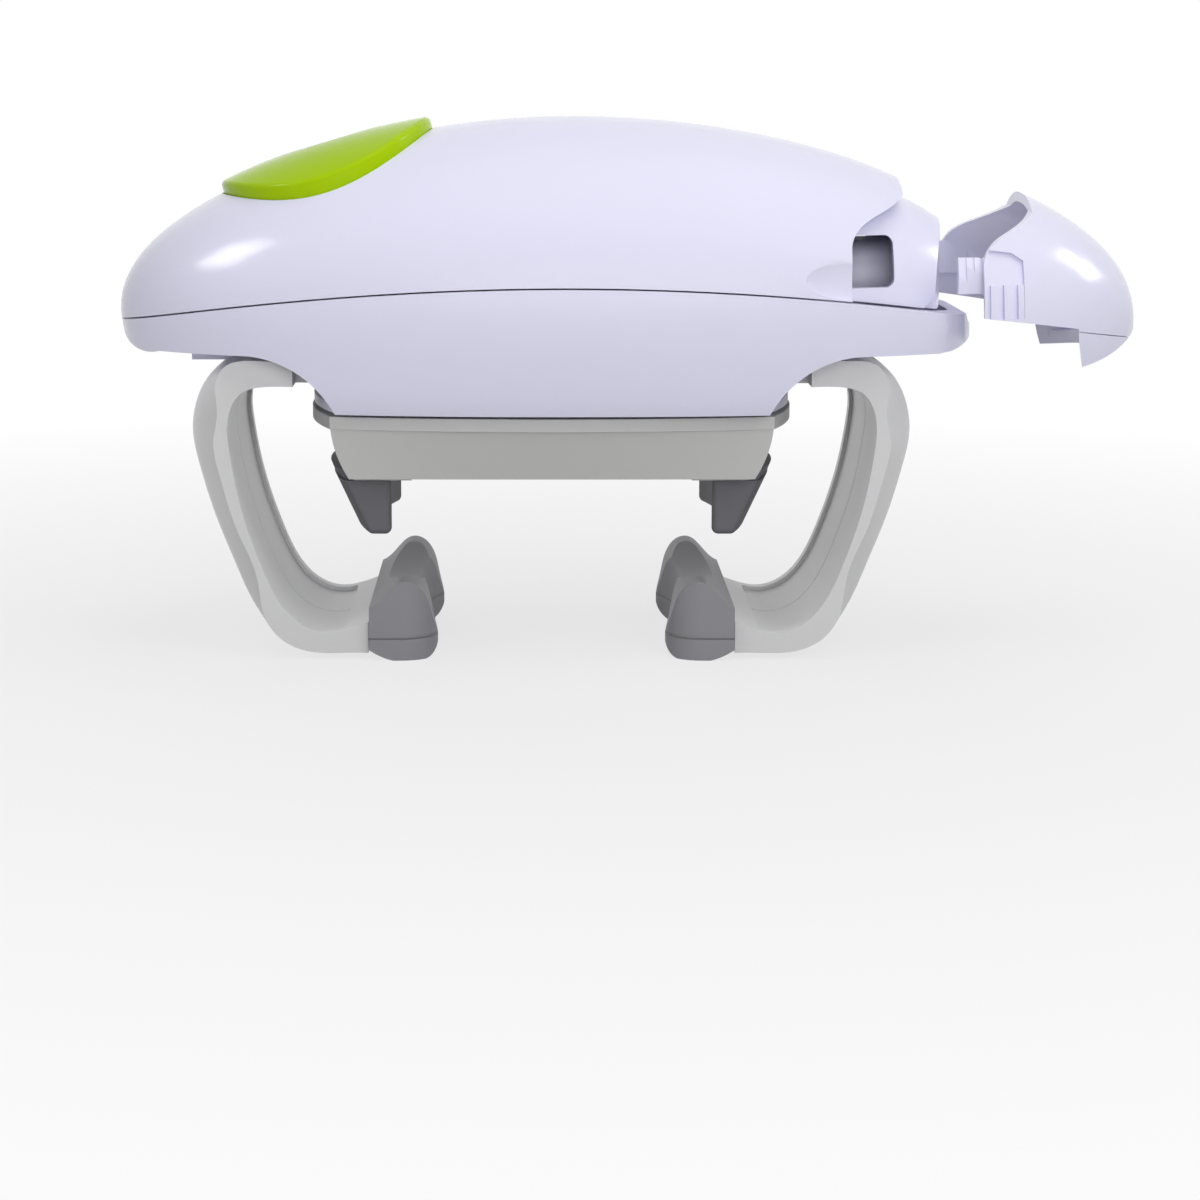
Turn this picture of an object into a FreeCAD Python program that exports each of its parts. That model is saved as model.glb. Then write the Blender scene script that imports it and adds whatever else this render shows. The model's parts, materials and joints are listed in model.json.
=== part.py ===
"""Electric jar opener, built as separate solids in millimetres.

An egg-shaped housing stands on two rubber-tipped arms that grip a jar. Under the
housing a turntable carries two smaller jaws that grip the lid and turn it. +Z is
up, the origin is on the turntable's axis at the height of the table, -X is the
nose with the start button and +X the tail with the battery cover, which is drawn
pulled off along its slide.
"""
import FreeCAD, Part
import math
import os
from FreeCAD import Vector

# ---------------------------------------------------------------- driving sizes
# Housing outer form
NOSE_REACH = 106.7          # axis to nose tip
TAIL_REACH = 113.6          # axis to tail tip, cover fitted
HALF_WIDTH = 47.5           # at the girth
GIRTH_Z = 85.0              # widest level
DOME_HEIGHT = 45.0          # girth to the top
SKIRT_Z = 60.2              # bottom edge of the skirt
SKIRT_DRAFT = 5.5           # how far the skirt draws in from girth to bottom
SKIRT_HALF_LENGTH = 51.5    # straight bottom edge of the skirt
CHEEK_REACH = 74.0          # where the skirt's hollow end curve meets the floor
FLOOR_Z = 74.0              # underside of nose and tail
PLAN_POWER = 2.3            # superellipse of the outline seen from above
NOSE_POWER = 1.8            # fullness of the dome towards the nose
TAIL_POWER = 2.0
WALL = 2.4
PARTING_TOP_Z = 90.8        # crown of the arched line between the shells
PARTING_RADIUS = 582.0
PARTING_GAP = 0.4
FIT = 0.3                   # clearance between neighbouring mouldings

# Battery cover and its seat
COVER_EDGE_X = 70.6         # upright cut edge of the main shell
COVER_SHOULDER_Z = 99.5     # where the cut edge starts to curve back
COVER_APEX_X = 84.9         # cut edge on the ridge
COVER_APEX_Z = 111.5
SEAT_STEP = 4.2             # seat surface below the outer surface
SEAT_END_X = 95.5
SEAT_BOW_RADIUS = 100.0     # the seat's end wall is bowed in plan
SEAT_ARCH_RADIUS = 18.2     # curved crease above the seat's lower corner
SEAT_ARCH_Z = 99.0
SEAT_SCOOP_DEPTH = 1.6      # hollow facet at the seat's lower corner
LIP_X = 104.0               # cover lip wraps below the parting line from here
LIP_RADIUS = 54.0           # the tail tip under the lip is rounded in plan
LIP_SEAM = 0.25
TIP_HOLLOW_RADIUS = 6.8     # hollow end face of the tail, seen from the side
TIP_HOLLOW_Z = 84.6
COVER_TRAVEL = 31.2
COVER_TILT = 7.3            # degrees, slide falls towards the tail
WINDOW_LENGTH = 10.8        # latch window in each side of the seat
WINDOW_LOW_Z = 90.0
WINDOW_HIGH_Z = 102.2
LATCH_WIDTH = 8.5
LATCH_THICKNESS = 1.7
LATCH_HALF_SPAN = 34.5      # outside of one latch arm from the middle plane
LATCH_REACH = 5.8           # how far a latch stands out past the cover's edge
GRIP_LENGTH = 9.8           # finger recess with three ribs on the cover
GRIP_DEPTH = 0.9
GRIP_RIB_WIDTH = 1.5
GRIP_HEIGHT = 13.5
GRIP_RIB_HEIGHT = 8.0
GRIP_RIB_SHARES = (0.14, 0.48, 0.84)    # places of the ribs along the recess
SCOOP_LENGTH = 11.5         # oval finger scoop in the main shell
SCOOP_HEIGHT = 11.4
SCOOP_DEPTH = 1.5
SCOOP_Y = 39.4
SCOOP_TURN = 14.0           # degrees, follows the tapering side
SCOOP_Z = 92.6

# Start button
BUTTON_X = -55.4
BUTTON_Z = 119.8
BUTTON_SLOPE = 16.3         # degrees, nose end lower
BUTTON_HALF_LENGTH = 27.0
BUTTON_HALF_WIDTH = 29.0
BUTTON_PROUD = 3.0          # above the shell surface
BUTTON_WALL = 2.2
BUTTON_EDGE_RADIUS = 1.5
BUTTON_GAP = 0.45
BUTTON_TRAVEL = 2.5
WELL_DEPTH = 13.0           # from the button's datum to the well floor
CUT_HEIGHT = 14.0           # cutters reach this far above the datum
DISH_SIZE = (20.0, 14.0, 2.6)           # half axes of the thumb dish
DISH_DEPTH = 1.2
SHELL_OVER_DATUM = 1.4      # shell surface above the button's datum
SPRING_LENGTH = 5.2
STEM_RADIUS = 3.0

# Turntable
TURNTABLE_TOP_Z = 59.3
TURNTABLE_BOTTOM_Z = 44.0
RIM_THICKNESS = 3.0
RIM_REACH = 59.3            # end of the rim on the middle plane
CORNER_X = 53.0             # end of the rim at its corners
RIM_HALF_WIDTH = 39.4
CORNER_HALF_WIDTH = 34.0
FOOT_CORNER_X = 48.6        # bottom of the side walls
FOOT_HALF_WIDTH = 32.8
MOUTH_HALF_WIDTH = 28.5     # opening between the bottom flanges
CHANNEL_HALF_WIDTH = 30.6   # channel above the flanges
FLANGE_THICKNESS = 2.6
TAB_HALF_LENGTH = 6.3       # tab in the middle of each flange
TAB_REACH = 25.7
HUB_RADIUS = 14.0
RETAINER_RADIUS = 18.0
BASE_THICKNESS = 2.4
RUNNING_GAP = 0.06          # radial, on every turning fit
SHAFT_RADIUS = 4.0

# Lid jaws
JAW_END_X = 38.2            # gripping face at the pad's ends
JAW_SAGITTA = 4.0           # extra distance in the middle of the pad
JAW_HALF_LENGTH = 26.6
JAW_BOTTOM_Z = 29.6
JAW_TOP_Z = 42.8
JAW_FOOT_Z = 45.4           # top of the carrier's foot plate
JAW_LIP_Z = 45.4            # top of the pad behind the carrier
JAW_TOP_DEPTH = 11.8        # pad thickness at the top
JAW_BOTTOM_DEPTH = 5.6
JAW_RUNNER_LENGTH = 14.0
JAW_RUNNER_INNER_Y = 20.2
JAW_RACK_END = 40.0         # free end of the rack past the axis
JAW_MODULE = 2.36
JAW_TEETH = 11
JAW_PRESSURE_ANGLE = 28.0
JAW_GEAR_Z = 49.8
JAW_GEAR_THICKNESS = 4.6
DISC_RADIUS = 18.3
DISC_Z = 46.0
DISC_THICKNESS = 1.4
COVER_PLATE_Z = 47.6
COVER_PLATE_THICKNESS = 1.4
COVER_PLATE_HALF_LENGTH = 32.0
COVER_PLATE_HALF_WIDTH = 18.2

# Arms
ARM_HALF_WIDTH = 31.5
ARM_BULGE = 8.2             # barrel curve of the arm's back
ARM_THICKNESS = 11.4        # on the middle plane, 3 mm at the rims
ARM_TOP_Z = 72.6
ARM_BOTTOM_Z = 1.5
ARM_REACH = 89.25           # furthest point of the arm's back
ARM_FLANGE_X = 62.0         # inner end of the wide flange
ARM_FOOT_X = 44.2           # free end under the pad
ARM_TOP_THICKNESS = 6.5
ARM_FOOT_THICKNESS = 5.0
ARM_PANEL_DEPTH = 0.9       # panel sunk into the inner face between the rims
ARM_RIM = 3.6
ARM_LINE_WIDTH = 0.5        # groove down the middle of the panel
ARM_LINE_DEPTH = 0.4
ARM_PRESSURE_ANGLE = 20.0
ARM_BACKLASH = 0.25
ARM_SLOT_HALF_WIDTH = 7.0
ARM_SLOT_DEPTH = 3.8
ARM_MODULE = 1.5
ARM_TEETH = 16
ARM_RACK_Z = 66.2
ARM_RACK_HEIGHT = 6.0
ARM_RACK_DEPTH = 9.0
ARM_RACK_END = 32.0         # free end of the rack past the axis
ARM_TONGUE_LENGTH = 9.0     # into the rubber pad
ARM_TONGUE_HALF_WIDTH = 22.0
ARM_TONGUE_THICKNESS = 2.6
ARM_TONGUE_Z = 2.9
STOP_HALF_WIDTH = 5.5
STOP_DEPTH = 4.0            # stops under nose and tail, run in the arm's slot
NOSE_STOP_X = (-89.0, -78.0)
TAIL_STOP_X = (88.5, 96.5)

# Arm pads
PAD_HALF_LENGTH = 33.3
PAD_TOE_X = 27.6            # front of the pad near the table
PAD_HORN_X = 35.5
PAD_HORN_Z = 19.2
PAD_BACK_Z = 12.8
PAD_WAIST = 5.2             # how far the front is hollowed between the horns
PAD_SADDLE = 3.6            # how far the top is hollowed between the horns
PAD_HORN_SPACING = 50.0
PAD_TONGUE_FIT = 0.15

# Gear train above the deck
DECK_THICKNESS = 2.2
MIDDLE_PLATE_Z = 83.8
UPPER_PLATE_Z = 93.2
PLATE_THICKNESS = 1.4
TRAIN_PRESSURE_ANGLE = 20.0
DRIVE_TEETH, DRIVE_MODULE = 56, 1.0
LAY_PINION_TEETH = 12
SECOND_TEETH, SECOND_MODULE = 40, 0.8
FIRST_TEETH, FIRST_MODULE = 48, 0.6
DRIVE_Z = 78.2
DRIVE_THICKNESS = 4.6
SECOND_Z = 85.8
SECOND_THICKNESS = 2.8
FIRST_Z = 89.2
FIRST_THICKNESS = 2.4
AXLE_RADIUS = 1.5
MOTOR_RADIUS = 12.0
MOTOR_LENGTH = 27.0
MOTOR_SHAFT_RADIUS = 1.0
PILLAR_RADIUS = 3.2
SCREW_RADIUS = 1.3
SCREW_HEAD_RADIUS = 2.6
SCREW_HEAD_THICKNESS = 1.6

# Batteries: two AA cells side by side
CELL_RADIUS = 7.25
CELL_LENGTH = 50.5
CELL_GAP = 0.5
TRAY_WALL = 1.3
TRAY_Z = 91.0

# --------------------------------------------------------------- derived values
MIDDLE_X = (TAIL_REACH - NOSE_REACH) / 2
HALF_LENGTH = (TAIL_REACH + NOSE_REACH) / 2
DECK_TOP_Z = FLOOR_Z + DECK_THICKNESS
FAR = 150.0                 # beyond every solid, for cutters
BASE_Z = SKIRT_Z - 0.2
BASE_TOP_Z = BASE_Z + BASE_THICKNESS
CHANNEL_ROOF_Z = TURNTABLE_TOP_Z - RIM_THICKNESS
FLANGE_TOP_Z = TURNTABLE_BOTTOM_Z + FLANGE_THICKNESS
LAY_X = -DRIVE_MODULE * (DRIVE_TEETH + LAY_PINION_TEETH) / 2
SECOND_X = LAY_X + SECOND_MODULE * (SECOND_TEETH + LAY_PINION_TEETH) / 2
MOTOR_X = SECOND_X + FIRST_MODULE * (FIRST_TEETH + LAY_PINION_TEETH) / 2
UPPER_PLATE_TOP_Z = UPPER_PLATE_Z + PLATE_THICKNESS
TRAY_INNER_RADIUS = CELL_RADIUS + CELL_GAP / 2
CELL_Y = CELL_RADIUS + CELL_GAP / 4
TRAY_END_X = SEAT_END_X - WALL - 1.4
TRAY_START_X = TRAY_END_X - CELL_LENGTH - 2.5
PILLARS = [(-46.0, 21.0), (-46.0, -21.0), (25.0, 23.0), (25.0, -23.0)]
BASE_BOSSES = [(sx * 30.0, sy * 27.6) for sx in (-1, 1) for sy in (-1, 1)]
SHELL_SCREWS = [(-88.0, 17.0), (-88.0, -17.0), (80.0, 24.0), (80.0, -24.0)]
JAW_PITCH_RADIUS = JAW_MODULE * JAW_TEETH / 2
ARM_PITCH_RADIUS = ARM_MODULE * ARM_TEETH / 2


# --------------------------------------------------------------------- helpers
def save(name, shape):
    """Write one named solid, or group of like solids, as a STEP file."""
    shape.exportStep(os.path.join("parts", name + ".step"))


def box(x0, x1, y0, y1, z0, z1):
    return Part.makeBox(x1 - x0, y1 - y0, z1 - z0, Vector(x0, y0, z0))


def post(radius, z0, z1, x=0.0, y=0.0):
    return Part.makeCylinder(radius, z1 - z0, Vector(x, y, z0))


def ring(outer, inner, z0, z1, x=0.0, y=0.0):
    return post(outer, z0, z1, x, y).cut(post(inner, z0, z1, x, y))


def fuse(shapes):
    """One solid from overlapping solids."""
    shapes = list(shapes)
    whole = shapes[0].multiFuse(shapes[1:]) if len(shapes) > 1 else shapes[0]
    return whole.removeSplitter()


def turned(shape):
    """The same piece on the other side of the turntable axis."""
    copy = shape.copy()
    copy.rotate(Vector(0, 0, 0), Vector(0, 0, 1), 180)
    return copy


def mirrored(shape):
    """The same piece on the other side of the middle plane."""
    return shape.mirror(Vector(0, 0, 0), Vector(0, 1, 0))


def arc(a, b, c):
    return Part.Arc(Vector(*a), Vector(*b), Vector(*c)).toShape()


def line(a, b):
    return Part.LineSegment(Vector(*a), Vector(*b)).toShape()


def side_prism(points, half_width=FAR):
    """Solid seen as a polygon of (x, z) points from the side."""
    corners = [Vector(x, -half_width, z) for x, z in points]
    face = Part.Face(Part.makePolygon(corners + corners[:1]))
    return face.extrude(Vector(0, 2 * half_width, 0))


def plan_prism(edges, height):
    """Solid above a closed outline of edges in a level plane."""
    return Part.Face(Part.Wire(Part.sortEdges(edges)[0])).extrude(Vector(0, 0, height))


def superellipse(z, nose, tail, half_width):
    """Closed outline of the housing at level z."""
    points = []
    count = 24
    for k in range(count):
        angle = 2 * math.pi * k / count
        c, s = math.cos(angle), math.sin(angle)
        reach = tail if c > 0 else nose
        x = math.copysign(abs(c) ** (2 / PLAN_POWER), c) * reach
        y = math.copysign(abs(s) ** (2 / PLAN_POWER), s) * half_width
        points.append(Vector(MIDDLE_X + x, y, z))
    curve = Part.BSplineCurve()
    curve.interpolate(Points=points, PeriodicFlag=True)
    return Part.Wire([curve.toShape()])


def egg(inset):
    """The housing's full outer form with every surface moved in by inset."""
    length = HALF_LENGTH - inset
    width = HALF_WIDTH - inset
    height = DOME_HEIGHT - inset
    sections = []
    for share in (1.0, 0.6, 0.25):
        draft = SKIRT_DRAFT * share ** 2
        z = GIRTH_Z - share * (GIRTH_Z - SKIRT_Z)
        sections.append(superellipse(z, length - draft, length - draft, width - draft))
    for degrees in (0, 14, 28, 42, 56, 68, 78, 86):
        rise = math.sin(math.radians(degrees))
        nose = length * (1 - rise ** NOSE_POWER) ** (1 / NOSE_POWER)
        tail = length * (1 - rise ** TAIL_POWER) ** (1 / TAIL_POWER)
        side = width * math.sqrt(1 - rise ** 2)
        sections.append(superellipse(GIRTH_Z + height * rise, nose, tail, side))
    return Part.makeLoft(sections, True, False)


def parting_z(x):
    """Height of the arched parting line."""
    return PARTING_TOP_Z - (x - MIDDLE_X) ** 2 / (2 * PARTING_RADIUS)


def below_parting(shift):
    """Everything under the parting line moved by shift."""
    ends = [(x, -FAR, parting_z(x) + shift) for x in (-FAR, MIDDLE_X, FAR)]
    low = [(x, -FAR, -FAR) for x in (FAR, -FAR)]
    edges = [arc(*ends), line(ends[2], low[0]), line(low[0], low[1]), line(low[1], ends[0])]
    face = Part.Face(Part.Wire(edges))
    return face.extrude(Vector(0, 2 * FAR, 0))


def underside(inset):
    """Everything above the housing's underside, seen from the side."""
    floor = FLOOR_Z + inset
    half = SKIRT_HALF_LENGTH - inset
    cheek = CHEEK_REACH - inset
    bottom = SKIRT_Z
    nose = -(NOSE_REACH - inset)
    tail = TAIL_REACH - inset

    def p(x, z):
        return (x, -FAR, z)

    def hollow(sign):
        return p(sign * cheek, floor), p(sign * (half + 8.6), floor - 4.0), p(sign * half, bottom)

    left, right = hollow(-1), hollow(1)
    nose_tip = p(nose - 0.6, floor + 6.0)
    nose_foot = p(nose + 12.0, floor)
    tail_foot = p(tail - 23.0, floor)
    tail_tip = p(tail + 0.6, floor + 10.0)
    edges = [
        arc(nose_tip, p(nose + 2.6, floor + 1.6), nose_foot),
        line(nose_foot, left[0]),
        arc(*left),
        line(left[2], right[2]),
        arc(right[2], right[1], right[0]),
        line(right[0], tail_foot),
        arc(tail_foot, p(tail - 8.6, floor + 3.4), tail_tip),
        line(tail_tip, p(FAR, floor + 10.0)),
        line(p(FAR, floor + 10.0), p(FAR, FAR)),
        line(p(FAR, FAR), p(-FAR, FAR)),
        line(p(-FAR, FAR), p(-FAR, floor + 6.0)),
        line(p(-FAR, floor + 6.0), nose_tip),
    ]
    return Part.Face(Part.Wire(edges)).extrude(Vector(0, 2 * FAR, 0))


def cover_zone(gap):
    """Everything on the cover's side of the cut edge, moved out by gap."""
    rise = COVER_APEX_Z - COVER_SHOULDER_Z
    run = COVER_APEX_X - COVER_EDGE_X
    shares = [(0.0, 0.0), (0.03, 0.16), (0.11, 0.32), (0.27, 0.49), (0.56, 0.67), (0.86, 0.87), (1.0, 1.0)]
    points = [Vector(COVER_EDGE_X + gap + u * run, -FAR, COVER_SHOULDER_Z - gap + v * rise)
              for u, v in shares]
    bend = Part.BSplineCurve()
    bend.interpolate(points)
    start, end = tuple(points[0]), tuple(points[-1])
    low, top = (start[0], -FAR, -FAR), (end[0], -FAR, FAR)
    edges = [line(low, start), bend.toShape(), line(end, top), line(top, (FAR, -FAR, FAR)),
             line((FAR, -FAR, FAR), (FAR, -FAR, -FAR)), line((FAR, -FAR, -FAR), low)]
    return Part.Face(Part.Wire(edges)).extrude(Vector(0, 2 * FAR, 0))


def beyond_arc(apex_x, radius, gap):
    """Everything on the tail's side of an upright face that is bowed in plan."""
    x = apex_x + gap
    block = box(x - radius / 3, FAR, -FAR, FAR, SKIRT_Z - 1, FAR)
    return block.cut(post(radius + gap, SKIRT_Z - 2, FAR + 1, apex_x - radius))


def gear_outline(teeth, module, pressure_angle, phase, backlash):
    """Corners of an involute gear with one tooth centred on phase degrees."""
    pitch_r = teeth * module / 2
    base_r = pitch_r * math.cos(math.radians(pressure_angle))
    root_r = pitch_r - 1.15 * module
    tip_r = pitch_r + 0.93 * module
    half_tooth = math.pi / (2 * teeth) - backlash / (2 * pitch_r)

    def roll(radius):
        ratio = max(1.0, radius / base_r)
        return math.sqrt(ratio ** 2 - 1) - math.acos(1 / ratio)

    corners = []
    steps = 5
    for tooth in range(teeth):
        centre = math.radians(phase) + 2 * math.pi * tooth / teeth
        flank = []
        for k in range(steps + 1):
            radius = max(root_r, base_r) + (tip_r - max(root_r, base_r)) * k / steps
            flank.append((radius, half_tooth + roll(pitch_r) - roll(radius)))
        root_angle = flank[0][1] + 0.02 / teeth
        side = [(root_r, root_angle)] + flank
        for radius, angle in side:
            corners.append((radius, centre - angle))
        for radius, angle in reversed(side):
            corners.append((radius, centre + angle))
    return [(r * math.cos(a), r * math.sin(a)) for r, a in corners]


def gear(teeth, module, pressure_angle, phase, backlash, x, z, thickness, bore):
    """Spur gear lying flat at height z with its axle hole."""
    outline = gear_outline(teeth, module, pressure_angle, phase, backlash)
    corners = [Vector(x + u, v, z) for u, v in outline]
    body = Part.Face(Part.makePolygon(corners + corners[:1])).extrude(Vector(0, 0, thickness))
    return body.cut(post(bore, z - 1, z + thickness + 1, x))


def rack(x0, x1, pitch_y, depth, module, pressure_angle, tooth_at_axis, backlash, z, height):
    """Straight rack at +pitch_y with its teeth pointing at the axis."""
    pitch = math.pi * module
    slope = math.tan(math.radians(pressure_angle))
    tip = pitch_y - 0.93 * module
    root = pitch_y + 1.15 * module
    half_mid = pitch / 4 - backlash / 2
    half_tip = half_mid - 0.93 * module * slope
    half_root = half_mid + 1.15 * module * slope
    body = [box(x0, x1, root, root + depth, z, z + height)]
    first = math.ceil(x0 / pitch)
    last = math.floor(x1 / pitch)
    for k in range(first - 1, last + 1):
        centre = (k if tooth_at_axis else k + 0.5) * pitch
        if centre - half_root < x0 or centre + half_root > x1:
            continue
        corners = [
            (centre - half_root, root + 0.2), (centre - half_root, root), (centre - half_tip, tip),
            (centre + half_tip, tip), (centre + half_root, root), (centre + half_root, root + 0.2),
        ]
        wire = Part.makePolygon([Vector(x, y, z) for x, y in corners + corners[:1]])
        body.append(Part.Face(wire).extrude(Vector(0, 0, height)))
    return fuse(body)


def screw(x, y, head_z, tip_z):
    """Self-tapping screw with its head at head_z, seen from below."""
    inward = 1 if tip_z > head_z else -1
    head_end = head_z + inward * SCREW_HEAD_THICKNESS
    head = post(SCREW_HEAD_RADIUS, min(head_z, head_end), max(head_z, head_end), x, y)
    shank = post(SCREW_RADIUS, min(head_end, tip_z), max(head_end, tip_z), x, y)
    slot_z = head_z if inward > 0 else head_z - 0.7
    cross = fuse([
        box(x - 1.6, x + 1.6, y - 0.3, y + 0.3, slot_z, slot_z + 0.7),
        box(x - 0.3, x + 0.3, y - 1.6, y + 1.6, slot_z, slot_z + 0.7),
    ])
    return fuse([head, shank]).cut(cross)


# --------------------------------------------------------------------- housing
OUTER = egg(0.0).common(underside(0.0))
INNER = egg(WALL)


def button_frame():
    """Axis of the button and a point on it at the shell surface."""
    tilt = math.radians(BUTTON_SLOPE)
    return Vector(-math.sin(tilt), 0, math.cos(tilt)), Vector(BUTTON_X, 0, BUTTON_Z)


def button_oval(half_length, half_width, low, high):
    """Oval prism along the button's axis between two depths."""
    axis, centre = button_frame()
    along = Vector(axis.z, 0, -axis.x)
    ellipse = Part.Ellipse(centre + Vector(0, half_width, 0), centre + along * half_length, centre)
    face = Part.Face(Part.Wire([ellipse.toShape()]))
    face.translate(axis * low)
    return face.extrude(axis * (high - low))


def stem_cylinder(radius, low, high):
    axis, centre = button_frame()
    return Part.makeCylinder(radius, high - low, centre + axis * low, axis)


def upper_shell():
    """Glossy dome with the button well, the cover's seat and its latch windows."""
    floor = below_parting(PARTING_GAP / 2)
    form = OUTER.cut(floor)
    form = form.cut(cover_zone(0.0).cut(egg(SEAT_STEP)))
    form = form.cut(beyond_arc(SEAT_END_X, SEAT_BOW_RADIUS, 0.0))
    arch = Part.makeCylinder(SEAT_ARCH_RADIUS, 2 * FAR,
                             Vector(SEAT_END_X - SEAT_ARCH_RADIUS + 0.2, -FAR, SEAT_ARCH_Z), Vector(0, 1, 0))
    corner = box(SEAT_END_X - 12, FAR, -FAR, FAR, FLOOR_Z, SEAT_ARCH_Z - 1).cut(arch)
    form = form.cut(corner.cut(egg(SEAT_STEP + SEAT_SCOOP_DEPTH)))
    well = button_oval(BUTTON_HALF_LENGTH + BUTTON_GAP, BUTTON_HALF_WIDTH + BUTTON_GAP,
                       -WELL_DEPTH, CUT_HEIGHT)
    well_room = button_oval(BUTTON_HALF_LENGTH + BUTTON_GAP + WALL,
                            BUTTON_HALF_WIDTH + BUTTON_GAP + WALL, -WELL_DEPTH - WALL, CUT_HEIGHT)
    form = form.cut(well)
    room = egg(WALL).common(box(-FAR, TRAY_END_X, -FAR, FAR, SKIRT_Z, FAR))
    room = room.cut(cover_zone(-WALL).cut(egg(SEAT_STEP + SEAT_SCOOP_DEPTH + 1.2)))
    room = room.cut(well_room)
    shell = form.cut(room)
    shell = shell.cut(stem_cylinder(STEM_RADIUS + 0.3, -WELL_DEPTH - 2 * WALL, 0.0))
    shell = shell.cut(tray_form(TRAY_INNER_RADIUS, TRAY_END_X - 1, SEAT_END_X + 1))
    window = box(COVER_EDGE_X - 2 * WALL, COVER_EDGE_X + WINDOW_LENGTH, 18.0, HALF_WIDTH,
                 WINDOW_LOW_Z, WINDOW_HIGH_Z)
    edges = [e for e in window.Edges
             if e.BoundBox.XMin > window.BoundBox.XMax - 0.01 and e.BoundBox.YLength > 5]
    window = window.makeFillet(2.2, edges).common(egg(WALL + 0.2))
    stretch = FreeCAD.Matrix()
    stretch.scale(SCOOP_LENGTH, SCOOP_DEPTH, SCOOP_HEIGHT / 2)
    scoop = Part.makeSphere(1.0).transformGeometry(stretch)
    scoop.rotate(Vector(0, 0, 0), Vector(0, 0, 1), -SCOOP_TURN)
    scoop.translate(Vector(COVER_EDGE_X, SCOOP_Y, SCOOP_Z))
    scoop = scoop.cut(cover_zone(0.0))
    for cutter in (window, mirrored(window), scoop, mirrored(scoop)):
        shell = shell.cut(cutter)
    return shell


def lower_shell():
    """Lower half: deck, skirt cheeks, arm rails, screw bosses and arm stops."""
    form = OUTER.common(below_parting(-PARTING_GAP / 2))
    form = form.cut(beyond_arc(LIP_X, LIP_RADIUS, -FIT))
    tip = Part.makeCylinder(TIP_HOLLOW_RADIUS, 2 * FAR, Vector(LIP_X + 3.2, -FAR, TIP_HOLLOW_Z),
                            Vector(0, 1, 0))
    form = form.cut(tip)
    room = INNER.common(underside(DECK_THICKNESS))
    room = room.common(box(-FAR, LIP_X - 3 * WALL, -FAR, FAR, DECK_TOP_Z, FAR))
    room = room.cut(beyond_arc(LIP_X, LIP_RADIUS, -FIT - 2 * WALL))
    skirt_room = INNER.common(box(-FAR, FAR, -FAR, FAR, SKIRT_Z - 1, FLOOR_Z))
    rail = box(-CHEEK_REACH + 4, CHEEK_REACH - 4, ARM_HALF_WIDTH + 0.5, ARM_HALF_WIDTH + 2.5,
               BASE_TOP_Z + FIT, FLOOR_Z + 0.1)
    rail = rail.common(underside(0.6))
    skirt_room = skirt_room.cut(rail).cut(mirrored(rail))
    shell = form.cut(room).cut(skirt_room)
    bosses = [post(3.4, BASE_TOP_Z, FLOOR_Z + 0.5, x, y) for x, y in BASE_BOSSES]
    stops = [box(x0, x1, -STOP_HALF_WIDTH, STOP_HALF_WIDTH, FLOOR_Z - depth, FLOOR_Z + 0.5)
             for (x0, x1), depth in ((NOSE_STOP_X, STOP_DEPTH), (TAIL_STOP_X, STOP_DEPTH * 0.65))]
    screw_posts = [post(3.6, FLOOR_Z + 0.5, parting_z(x) - 1.5, x, y) for x, y in SHELL_SCREWS]
    shell = fuse([shell] + bosses + stops + screw_posts)
    for x, y in BASE_BOSSES:
        shell = shell.cut(post(SCREW_RADIUS, BASE_TOP_Z - 1, FLOOR_Z, x, y))
    for x, y in SHELL_SCREWS:
        shell = shell.cut(post(SCREW_HEAD_RADIUS + 0.2, FLOOR_Z - 1, FLOOR_Z + 1.8, x, y))
        shell = shell.cut(post(SCREW_RADIUS, FLOOR_Z, FAR, x, y))
    return shell.cut(post(SHAFT_RADIUS + RUNNING_GAP, FLOOR_Z - 1, DECK_TOP_Z + 1))


def base_plate():
    """Plate that closes the skirt and carries the turntable's hub."""
    plan = rim_plan(BASE_Z, RIM_REACH - 0.4, CORNER_X - 1.0, RIM_HALF_WIDTH, CORNER_HALF_WIDTH)
    plate = plan_prism(plan, BASE_THICKNESS)
    plate = plate.common(egg(WALL + FIT))
    plate = plate.cut(post(HUB_RADIUS + RUNNING_GAP, BASE_Z - 1, BASE_TOP_Z + 1))
    for x, y in BASE_BOSSES:
        plate = plate.cut(post(SCREW_HEAD_RADIUS + 0.2, BASE_Z - 1, BASE_Z + SCREW_HEAD_THICKNESS, x, y))
        plate = plate.cut(post(SCREW_RADIUS + 0.2, BASE_Z - 1, FAR, x, y))
    return plate


def base_screws():
    return Part.makeCompound([screw(x, y, BASE_Z, BASE_Z + 9.0) for x, y in BASE_BOSSES])


def shell_screws():
    screws = [screw(x, y, FLOOR_Z + 0.2, FLOOR_Z + 9.5) for x, y in SHELL_SCREWS]
    return Part.makeCompound(screws)


# --------------------------------------------------------------- battery parts
def tray_form(radius, x0, x1):
    """Rounded tube that holds two cells side by side."""
    cells = [Part.makeCylinder(radius, x1 - x0, Vector(x0, y, TRAY_Z), Vector(1, 0, 0))
             for y in (-CELL_Y, CELL_Y)]
    return fuse(cells + [box(x0, x1, -CELL_Y, CELL_Y, TRAY_Z - radius, TRAY_Z + radius)])


def battery_tray():
    """Sleeve for two AA cells, closed at its inner end, on two legs."""
    outer = tray_form(TRAY_INNER_RADIUS + TRAY_WALL, TRAY_START_X, TRAY_END_X - 0.1)
    legs = [box(x, x + 4.0, -10.0, 10.0, DECK_TOP_Z + 0.05, TRAY_Z - TRAY_INNER_RADIUS)
            for x in (TRAY_START_X + 5.0, TRAY_END_X - 16.0)]
    tray = fuse([outer] + legs)
    return tray.cut(tray_form(TRAY_INNER_RADIUS, TRAY_START_X + TRAY_WALL, TRAY_END_X + 1))


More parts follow.
